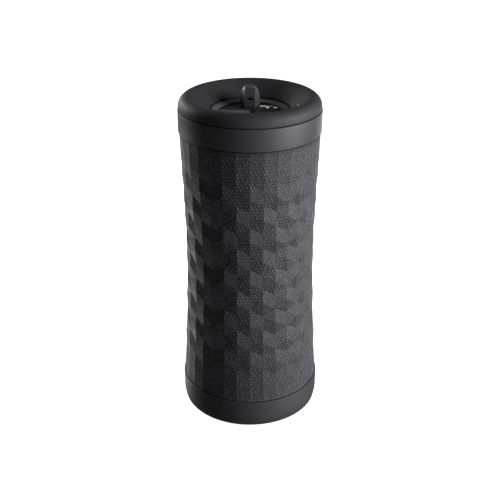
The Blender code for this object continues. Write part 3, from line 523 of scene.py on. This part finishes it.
def makeLattice(low, high):  # facet corners as pressed, at a steeper relief and with none, and the facets
    columns, rows = 2 * sleeveSizes["hexagons"], sleeveSizes["rows"]
    places, steepPlaces, smoothPlaces, facets, lines = [], [], [], [], []
    for column in range(columns):
        angle = -math.pi / 2 + 2 * math.pi * column / columns
        outward = Vector((math.cos(angle), math.sin(angle), 0))
        levels = [float(k) for k in range(rows + 1)]
        if column % 2:
            levels = [0.0] + [k + 0.5 for k in range(rows)] + [float(rows)]
        line = []
        for level in levels:
            relief = reliefAt(column, level)
            height = low + (high - low) * level / rows
            middle = outward * sleeveRadius(level / rows) + Vector((0, 0, height))
            line.append((level, len(places)))
            places.append(middle + outward * relief)
            share = min(1.0, min(level, rows - level) / sleeveSizes["creaseFade"])
            steepPlaces.append(middle + outward * relief * sleeveSizes["creaseGain"] * share)
            smoothPlaces.append(middle)
        lines.append(line)
    for column in range(columns):
        left, right = lines[column], lines[(column + 1) % columns]
        i = j = 0
        while i < len(left) - 1 or j < len(right) - 1:
            leftNext = left[i + 1][0] if i < len(left) - 1 else math.inf
            rightNext = right[j + 1][0] if j < len(right) - 1 else math.inf
            if leftNext < rightNext:
                facets.append((left[i][1], right[j][1], left[i + 1][1]))
                i += 1
            else:
                facets.append((left[i][1], right[j][1], right[j + 1][1]))
                j += 1
    ends = [(line[0][1], line[-1][1]) for line in lines]
    return places, steepPlaces, smoothPlaces, facets, ends


def facetNormal(places, facet):
    first, second, third = (places[i] for i in facet)
    return (second - first).cross(third - first).normalized()


# The facets are shaded from a steeper relief than the mesh has. Relief steep enough for their contrast
# would break the smooth outline.

def makeSleeve():
    low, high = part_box("grille_sleeve")
    places, steepPlaces, smoothPlaces, facets, ends = makeLattice(
        low.z + sleeveSizes["lowSeam"], high.z - sleeveSizes["topSeam"])
    count = len(places)
    backs = []
    for place in places:
        outward = Vector((place.x, place.y, 0)).normalized()
        backs.append(place - outward * sleeveSizes["thickness"])
    faces = facets + [tuple(count + i for i in reversed(facet)) for facet in facets]
    for (lowLeft, topLeft), (lowRight, topRight) in zip(ends, ends[1:] + ends[:1]):
        faces.append((lowLeft, count + lowLeft, count + lowRight, lowRight))
        faces.append((topLeft, topRight, count + topRight, count + topLeft))
    mesh = bpy.data.meshes.new("clothSleeve")
    mesh.from_pydata(places + backs, [], faces)
    normals = []
    for polygon in mesh.polygons:
        normal = polygon.normal
        if polygon.index < len(facets):
            normal = facetNormal(steepPlaces, facets[polygon.index])
            smooth = facetNormal(smoothPlaces, facets[polygon.index])
            normal.z = smooth.z + (normal.z - smooth.z) * sleeveSizes["uprightGain"]
            normal.normalize()
        normals += [normal] * polygon.loop_total
    mesh.normals_split_custom_set(normals)
    addPiece("clothSleeve", mesh, wovenPolyester, "speaker", "woven_cloth", "grille_sleeve")
    return mesh


sleeveMesh = makeSleeve()

weaveSizes = {
    "across": 1.8 * mm, "up": 1.65 * mm, "stagger": 0.37, "stray": 0.12, "length": 0.62 * mm,
    "width": 1.25 * mm, "height": 0.25 * mm, "lean": -22, "margin": 1.2 * mm, "smallest": 0.5,
    "largest": 1.15, "seed": 7}  # as coarse as it needs to be to show in the render


def makeWeavePoints():  # a point for each float yarn, in staggered rows, and the turn that lays it flat
    low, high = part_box("grille_sleeve")
    tree = surfaceTree(sleeveMesh)
    count = round(2 * math.pi * sleeveRadius(sleeveSizes["waistShare"]) / weaveSizes["across"])
    rows = int((high.z - low.z - 2 * weaveSizes["margin"]) / weaveSizes["up"])
    chance = random.Random(weaveSizes["seed"])
    stray = weaveSizes["stray"]
    places, turns = [], []
    for row in range(rows):
        level = low.z + weaveSizes["margin"] + row * weaveSizes["up"]
        for i in range(count):
            height = level + chance.uniform(-stray, stray) * weaveSizes["up"]
            angle = 2 * math.pi * (i - row * weaveSizes["stagger"] + chance.uniform(-stray, stray)) / count
            outward = Vector((math.cos(angle), math.sin(angle), 0))
            start = outward * 2 * baseRadius + Vector((0, 0, height))
            hit, normal = tree.ray_cast(start, -outward)[:2]
            across = Vector((0, 0, 1)).cross(normal).normalized()
            laid = Matrix((across, normal.cross(across), normal)).transposed()
            turn = (laid @ Matrix.Rotation(math.radians(weaveSizes["lean"]), 3, "Z")).to_euler()
            places.append(hit)
            turns.append(turn)
    mesh = bpy.data.meshes.new("weavePoints")
    mesh.from_pydata(places, [], [])
    attribute = mesh.attributes.new("dashTurn", "FLOAT_VECTOR", "POINT")
    attribute.data.foreach_set("vector", [value for turn in turns for value in turn])
    return mesh


def makeWeaveTree():
    tree = bpy.data.node_groups.new("floatYarns", "GeometryNodeTree")
    tree.interface.new_socket("Points", in_out="INPUT", socket_type="NodeSocketGeometry")
    for name in ("Length", "Width", "Height", "Smallest", "Largest"):
        tree.interface.new_socket(name, in_out="INPUT", socket_type="NodeSocketFloat")
    tree.interface.new_socket("Seed", in_out="INPUT", socket_type="NodeSocketInt")
    tree.interface.new_socket("Yarn", in_out="INPUT", socket_type="NodeSocketMaterial")
    tree.interface.new_socket("Cloth", in_out="OUTPUT", socket_type="NodeSocketGeometry")
    inputs = addNode(tree, "NodeGroupInput").outputs
    dome = addNode(tree, "GeometryNodeMeshUVSphere", None, {"Segments": 6, "Rings": 2, "Radius": 0.5})
    size = addNode(tree, "ShaderNodeCombineXYZ", None, {
        "X": inputs["Length"], "Y": inputs["Width"], "Z": inputs["Height"]})
    dash = addNode(tree, "GeometryNodeTransform", None, {
        "Geometry": dome.outputs["Mesh"], "Scale": size.outputs["Vector"]})
    turn = addNode(tree, "GeometryNodeInputNamedAttribute", {"data_type": "FLOAT_VECTOR"}, {
        "Name": "dashTurn"})
    rotation = addNode(tree, "FunctionNodeEulerToRotation", None, {0: turn.outputs["Attribute"]})
    spread = addNode(tree, "FunctionNodeRandomValue", {"data_type": "FLOAT"}, {
        2: inputs["Smallest"], 3: inputs["Largest"], "Seed": inputs["Seed"]})
    laid = addNode(tree, "GeometryNodeInstanceOnPoints", None, {
        "Points": inputs["Points"], "Instance": dash.outputs["Geometry"],
        "Rotation": rotation.outputs[0], "Scale": spread.outputs[1]})
    real = addNode(tree, "GeometryNodeRealizeInstances", None, {"Geometry": laid.outputs["Instances"]})
    dressed = addNode(tree, "GeometryNodeSetMaterial", None, {
        "Geometry": real.outputs["Geometry"], "Material": inputs["Yarn"]})
    addNode(tree, "NodeGroupOutput", None, {"Cloth": dressed.outputs["Geometry"]})
    return tree


def runTree(name, mesh, tree, values):  # run a node tree on a mesh and return the plain result
    holder = bpy.data.objects.new(name, mesh)
    bpy.context.scene.collection.objects.link(holder)
    modifier = holder.modifiers.new(name, "NODES")
    modifier.node_group = tree
    for socket in tree.interface.items_tree:
        if socket.in_out == "INPUT" and socket.name in values:
            modifier[socket.identifier] = values[socket.name]
    depsgraph = bpy.context.evaluated_depsgraph_get()
    result = bpy.data.meshes.new_from_object(holder.evaluated_get(depsgraph))
    holder.modifiers.remove(modifier)
    bpy.data.objects.remove(holder)
    return result


def makeWeave():
    values = {
        "Length": weaveSizes["length"], "Width": weaveSizes["width"], "Height": weaveSizes["height"],
        "Smallest": weaveSizes["smallest"], "Largest": weaveSizes["largest"],
        "Seed": weaveSizes["seed"], "Yarn": polyesterFloat}
    mesh = runTree("floatYarns", makeWeavePoints(), makeWeaveTree(), values)
    addPiece("floatYarns", mesh, polyesterFloat, "speaker", "woven_cloth")
    return len(mesh.polygons)


print("sleeve made,", makeWeave(), "yarn faces")


# Well, half plates and dial

wellSizes = {
    "radius": 19.5 * mm, "floor": 2 * mm, "hole": 4.6 * mm, "edge": 0.25 * mm, "outerEdge": 0.2 * mm,
    "steps": 128}


def makeWell():
    low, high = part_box("well_cup")
    outer, inner = high.x, wellSizes["radius"]
    floorTop = low.z + wellSizes["floor"]
    hole = wellSizes["hole"]
    points = [
        (outer, high.z, wellSizes["outerEdge"]), (outer, low.z), (hole, low.z), (hole, floorTop),
        (inner, floorTop), (inner, high.z, wellSizes["edge"])]
    mesh = meshFrom(turnProfile(filleted(points), wellSizes["steps"]), "wellWall")
    addPiece("wellWall", mesh, mouldedAbs, "speaker", "moulded_plastic", "well_cup")


plateSizes = {"edge": 0.3 * mm, "halfSlit": 0.15 * mm, "steps": 32}


def makeHalfPlate(node, name, side, material, slotName, askew):  # askew: how far its inner corner is off
    low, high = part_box(node)
    radius = wellSizes["radius"] - fit
    corner = Vector((side * plateSizes["halfSlit"], high.y - askew))
    outline = [corner]
    startTurn = math.asin(-high.y / radius)
    endTurn = math.acos(abs(corner.x) / radius)
    for i in range(plateSizes["steps"] + 1):
        turn = startTurn + (endTurn - startTurn) * i / plateSizes["steps"]
        outline.append(Vector((side * radius * math.cos(turn), -radius * math.sin(turn))))
    shape = bmesh.new()
    loop = [shape.verts.new((point.x, point.y, low.z)) for point in outline]
    face = shape.faces.new(loop)
    lifted = bmesh.ops.extrude_face_region(shape, geom=[face])["geom"]
    top = [item for item in lifted if isinstance(item, bmesh.types.BMVert)]
    bmesh.ops.translate(shape, verts=top, vec=(0, 0, high.z - low.z))
    rim = [edge for edge in shape.edges if all(vert.co.z > high.z - 1e-6 for vert in edge.verts)]
    bmesh.ops.bevel(
        shape, geom=rim, offset=plateSizes["edge"], segments=3, profile=0.6, affect="EDGES")
    addPiece(name, meshFrom(shape, name), material, "speaker", slotName, node)


dialSizes = {"edge": 0.4 * mm, "steps": 128}


def makeDial():
    low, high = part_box("dial_disc")
    points = [(0, high.z), (high.x, high.z, dialSizes["edge"]), (high.x, low.z), (0, low.z)]
    mesh = meshFrom(turnProfile(filleted(points), dialSizes["steps"]), "dialFace")
    addPiece("dialFace", mesh, mouldedAbs, "dial", "moulded_plastic", "dial_disc")
    return high.z


ringSizes = {"width": 2.3 * mm, "innerEdge": 0.4 * mm, "steps": 96}


def makeDialRing():  # sloped half ring over the back of the dial
    low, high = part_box("dial_ring")
    inner = high.x - ringSizes["width"]
    section = [(high.x, high.z), (high.x, low.z), (inner, low.z), (inner, low.z + ringSizes["innerEdge"])]
    shape = bmesh.new()
    stations = []
    startTurn = math.asin(low.y / high.x)
    for i in range(ringSizes["steps"] + 1):
        turn = startTurn + (math.pi - 2 * startTurn) * i / ringSizes["steps"]
        spot = Vector((math.cos(turn), math.sin(turn), 0))
        stations.append([
            shape.verts.new(spot * radius + Vector((0, 0, height))) for radius, height in section])
    joinSections(shape, stations)
    shape.faces.new(stations[0])
    shape.faces.new(list(reversed(stations[-1])))
    addPiece("dialRing", meshFrom(shape, "dialRing"), satinAbs, "speaker", "moulded_plastic", "dial_ring")


makeWell()
makeDialRing()
makeHalfPlate("bezel_plate", "bezelHalf", -1, satinAbs, "moulded_plastic", 1.6 * mm)
makeHalfPlate("status_window", "windowHalf", 1, polishedAcrylic, "gloss_window", 0.0)
dialTop = makeDial()

tabSizes = {
    "shoulder": 3.2 * mm, "width": 10 * mm, "noseWidth": 5.2 * mm, "topWidth": 2.8 * mm, "flank": 13 * mm,
    "rearDrawIn": 2 * mm, "sections": 16, "slotWidth": 3 * mm, "slotHeight": 1.3 * mm, "slotDepth": 2 * mm,
    "slotRise": 4.7 * mm, "edge": 0.45 * mm, "sharpAngle": 25, "rearShare": 0.4, "sideShare": 0.85}


def tabOutline(height, total, nose, back):
    share = max(0.0, (height - tabSizes["shoulder"]) / (total - tabSizes["shoulder"]))
    narrowing = 1 - math.sqrt(1 - min(1.0, share) ** 2)
    half = (tabSizes["width"] + (tabSizes["topWidth"] - tabSizes["width"]) * narrowing) / 2
    tip = min(tabSizes["noseWidth"] / 2, half)
    rear = back - tabSizes["rearDrawIn"] * narrowing
    middle = (tabSizes["flank"] + rear) / 2
    rearHalf, sideHalf = half * tabSizes["rearShare"], half * tabSizes["sideShare"]
    return [
        (-tip, nose), (tip, nose), (half, tabSizes["flank"]), (sideHalf, middle), (rearHalf, rear),
        (-rearHalf, rear), (-sideHalf, middle), (-half, tabSizes["flank"])]


def makeTab():
    low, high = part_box("thumb_tab")
    total = high.z - low.z
    heights = [0.0, tabSizes["shoulder"]]
    for i in range(1, tabSizes["sections"] + 1):
        turn = math.pi / 2 * i / tabSizes["sections"]
        heights.append(tabSizes["shoulder"] + (total - tabSizes["shoulder"]) * math.sin(turn))
    shape = bmesh.new()
    loops = []
    for height in heights:
        outline = tabOutline(height, total, low.y, high.y)
        loops.append([shape.verts.new((x, y, low.z + height)) for x, y in outline])
    joinSections(shape, loops)
    shape.faces.new(list(reversed(loops[0])))
    shape.faces.new(loops[-1])
    mesh = meshFrom(shape, "thumbTab", tabSizes["sharpAngle"])
    piece = addPiece("thumbTab", mesh, tabAbs, "dial", "moulded_plastic", "thumb_tab")
    slot = low.z + tabSizes["slotRise"]
    halfWide, halfTall = tabSizes["slotWidth"] / 2, tabSizes["slotHeight"] / 2
    cutWith(piece, [boxMesh(
        (-halfWide, low.y - mm, slot - halfTall),
        (halfWide, low.y + tabSizes["slotDepth"], slot + halfTall))])
    softenEdges(piece, tabSizes["edge"])


makeTab()
print("dial and tab made")


# Printed marks on the dial and the index dot on the bumper's inner slope, all with a painted glow

markSizes = {"thickness": 0.06 * mm, "cornerShare": 0.35}
markPlaces = [
    ("levelBar", (6.6 * mm, 10.7 * mm), (3.4 * mm, 1.5 * mm), whitePrintGlow),
    ("levelStep", (9.0 * mm, 9.0 * mm), (1.7 * mm, 3.2 * mm), whitePrintGlow),
    ("linkDot", (10.9 * mm, 11.0 * mm), (1.6 * mm, 1.8 * mm), bluePrintGlow),
    ("modeBar", (12.9 * mm, 8.4 * mm), (1.9 * mm, 1.8 * mm), whitePrintGlow)]


def makeMarks():
    for name, centre, size, ink in markPlaces:
        shape = bmesh.new()
        place = Matrix.Translation((*centre, dialTop + markSizes["thickness"] / 2))
        stretch = Matrix.Diagonal((*size, markSizes["thickness"], 1))
        bmesh.ops.create_cube(shape, size=1.0, matrix=place @ stretch)
        upright = [edge for edge in shape.edges if abs(edge.verts[0].co.z - edge.verts[1].co.z) > 1e-6]
        corner = min(size) * markSizes["cornerShare"]
        bmesh.ops.bevel(shape, geom=upright, offset=corner, segments=4, profile=0.5, affect="EDGES")
        addPiece(name, meshFrom(shape, name), ink, "dial", "moulded_plastic")


dotSizes = {"place": (23.8 * mm, -3.75 * mm), "radius": 0.5 * mm, "steps": 24}


def makeIndexDot():  # small white dot printed on the bumper's inner slope, right of the dial, with a painted glow
    above = Vector((*dotSizes["place"], cadHigh.z + mm))
    hit, normal = surfaceTree(bumperMesh).ray_cast(above, Vector((0, 0, -1)))[:2]
    turn = normal.to_track_quat("Z", "Y").to_matrix().to_4x4()
    dot = bmesh.new()
    bmesh.ops.create_cone(
        dot, cap_ends=True, segments=dotSizes["steps"], depth=2 * markSizes["thickness"],
        radius1=dotSizes["radius"], radius2=dotSizes["radius"], matrix=Matrix.Translation(hit) @ turn)
    addPiece("indexDot", meshFrom(dot, "indexDot"), whitePrintGlow, "speaker", "soft_rubber")


makeMarks()
makeIndexDot()


# Socket flap at the back

flapSizes = {"wall": 1 * mm, "edge": 0.25 * mm, "steps": 48}


def makeFlap():
    low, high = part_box("port_cover")
    outer = high.y
    inner = outer - flapSizes["wall"]
    halfTurn = math.asin(high.x / outer)
    shape = bmesh.new()
    rings = []
    for i in range(flapSizes["steps"] + 1):
        turn = -halfTurn + 2 * halfTurn * i / flapSizes["steps"]
        ring = []
        for radius, height in ((outer, low.z), (outer, high.z), (inner, high.z), (inner, low.z)):
            ring.append(shape.verts.new((radius * math.sin(turn), radius * math.cos(turn), height)))
        rings.append(ring)
    joinSections(shape, rings)
    shape.faces.new(list(reversed(rings[0])))
    shape.faces.new(rings[-1])
    mesh = meshFrom(shape, "socketFlap")
    piece = addPiece("socketFlap", mesh, siliconeRubber, "port_flap", "soft_rubber", "port_cover")
    softenEdges(piece, flapSizes["edge"])


makeFlap()
print("flap made")


# Studio: white sweep seen only by the camera, softbox on the right, rim lights behind, low bounces

cameraSizes = {
    "lens": 64.9, "sensor": 36, "clipStart": 0.01, "place": (0, -0.43665, 0.30165), "aim": (0, 0, 0.08906)}
studioSizes = {"aimHeight": 0.09, "floorHalf": 3.0, "floorDrop": 0.0005, "room": 0.085}


def aimAt(thing, target):
    direction = Vector(target) - thing.location
    thing.rotation_euler = direction.to_track_quat("-Z", "Y").to_euler()


def makeCamera():
    data = bpy.data.cameras.new("camera")
    data.lens = cameraSizes["lens"]
    data.sensor_width = cameraSizes["sensor"]
    data.clip_start = cameraSizes["clipStart"]
    camera = bpy.data.objects.new("camera", data)
    bpy.context.scene.collection.objects.link(camera)
    camera.location = cameraSizes["place"]
    aimAt(camera, cameraSizes["aim"])
    bpy.context.scene.camera = camera


lightSizes = [  # name, azimuth from the camera side, elevation, distance, width, height, watts
    ("keySoftbox", 73, 20, 0.9, 0.45, 0.5, 10.2),
    ("leftRim", -136, 16, 0.7, 0.3, 0.25, 2.9),
    ("leftBounce", -132, -26, 0.7, 0.3, 0.25, 0.85),
    ("rightRim", 148, -12, 0.7, 0.3, 0.25, 0.75),
    ("frontBounce", 61, -6, 0.6, 0.4, 0.2, 1.8)]


def makeLights():
    for name, azimuth, elevation, distance, width, height, watts in lightSizes:
        data = bpy.data.lights.new(name, "AREA")
        data.shape = "RECTANGLE"
        data.size = width
        data.size_y = height
        data.energy = watts
        lamp = bpy.data.objects.new(name, data)
        bpy.context.scene.collection.objects.link(lamp)
        turn, lift = math.radians(azimuth), math.radians(elevation)
        reach = distance * math.cos(lift)
        rise = studioSizes["aimHeight"] + distance * math.sin(lift)
        lamp.location = (reach * math.sin(turn), -reach * math.cos(turn), rise)
        aimAt(lamp, (0, 0, studioSizes["aimHeight"]))


def makeFloor():
    shape = bmesh.new()
    bmesh.ops.create_grid(shape, x_segments=1, y_segments=1, size=studioSizes["floorHalf"])
    mesh = bpy.data.meshes.new("floor")
    shape.to_mesh(mesh)
    shape.free()
    floor = bpy.data.objects.new("floor", mesh)
    floor.location.z = -studioSizes["floorDrop"]
    bpy.context.scene.collection.objects.link(floor)
    material = bpy.data.materials.new("white paper sweep")
    material.use_nodes = True
    shader = material.node_tree.nodes["Principled BSDF"]
    shader.inputs["Base Color"].default_value = fromHex("ffffff")
    shader.inputs["Emission Color"].default_value = fromHex("ffffff")
    shader.inputs["Emission Strength"].default_value = 1.0
    mesh.materials.append(material)
    floor.visible_diffuse = False
    floor.visible_glossy = False
    floor.visible_shadow = False


def makeWorld():  # white paper behind the object for the camera, a dim room for everything else
    world = bpy.data.worlds.new("studio")
    bpy.context.scene.world = world
    world.use_nodes = True
    tree = world.node_tree
    room = tree.nodes["Background"]
    room.inputs["Color"].default_value = fromHex("ffffff")
    room.inputs["Strength"].default_value = studioSizes["room"]
    paper = addNode(tree, "ShaderNodeBackground", None, {"Color": fromHex("ffffff"), "Strength": 1.0})
    path = addNode(tree, "ShaderNodeLightPath")
    mix = addNode(tree, "ShaderNodeMixShader", None, {
        0: path.outputs["Is Camera Ray"], 1: room.outputs[0], 2: paper.outputs[0]})
    tree.links.new(mix.outputs[0], tree.nodes["World Output"].inputs["Surface"])


makeCamera()
makeLights()
makeFloor()
makeWorld()
bpy.context.scene.view_settings.view_transform = "Standard"
print("studio made")
